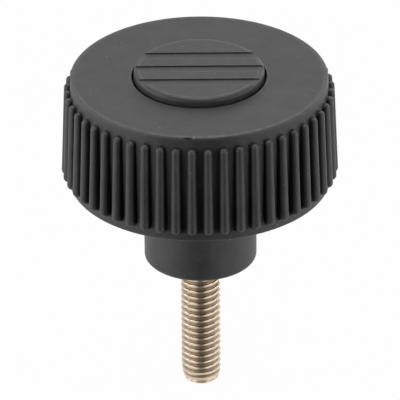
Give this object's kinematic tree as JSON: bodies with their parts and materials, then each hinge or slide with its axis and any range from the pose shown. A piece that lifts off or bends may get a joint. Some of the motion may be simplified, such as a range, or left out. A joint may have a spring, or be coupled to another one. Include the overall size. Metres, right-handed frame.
{
  "type": "knurled knob",
  "caption": "Round clamping knob with a ribbed rim, a grooved snap-in cover cap and a hub that carries a moulded-in threaded stud.",
  "frame": {"origin": "on the axis, in the hub's seating face, where the stud leaves the hub", "axes": "+Z along the axis from the seating face towards the cap; the stud points along -Z; the cap's grooves run along X"},
  "size_m": [0.0404, 0.0404, 0.0519],
  "materials": {
    "body_plastic": "black-grey reinforced thermoplastic, fine moulded grain",
    "cap_plastic": "black-grey thermoplastic, fine moulded grain",
    "stud_steel": "stainless steel with a warm tone, rolled thread"
  },
  "bodies": {
    "root": {"knob_body": "body_plastic", "cover_cap": "cap_plastic", "threaded_stud": "stud_steel"}
  },
  "joints": []
}
